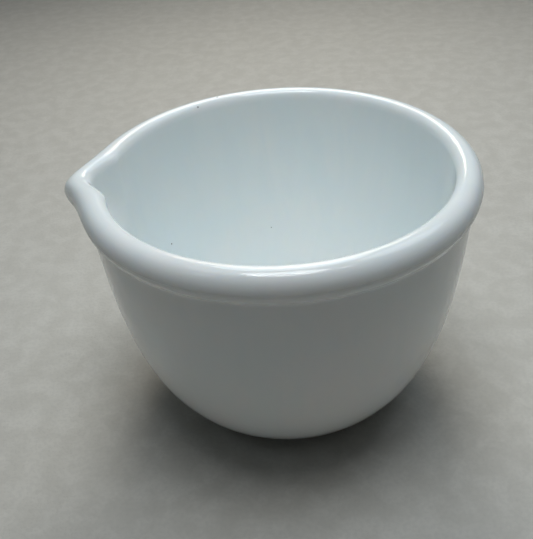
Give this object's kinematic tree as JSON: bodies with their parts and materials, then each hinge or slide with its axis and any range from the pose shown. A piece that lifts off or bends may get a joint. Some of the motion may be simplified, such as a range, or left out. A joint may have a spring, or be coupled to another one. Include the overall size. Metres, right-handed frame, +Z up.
{
  "type": "mixing bowl",
  "caption": "Small round-bottomed mixing bowl of pressed white glass with a thick rolled rim, a pouring spout and a foot ring.",
  "frame": {"origin": "centre of the foot ring on the surface that the bowl stands on, on the axis of the round bowl", "axes": "+Z up along the bowl's axis, out of its mouth; -X towards the pouring spout, which is the longest way across; +Y is sideways"},
  "size_m": [0.1732, 0.165, 0.116],
  "materials": {
    "opal_glass": "glossy"
  },
  "bodies": {
    "root": {"bowl": "opal_glass"}
  },
  "joints": []
}
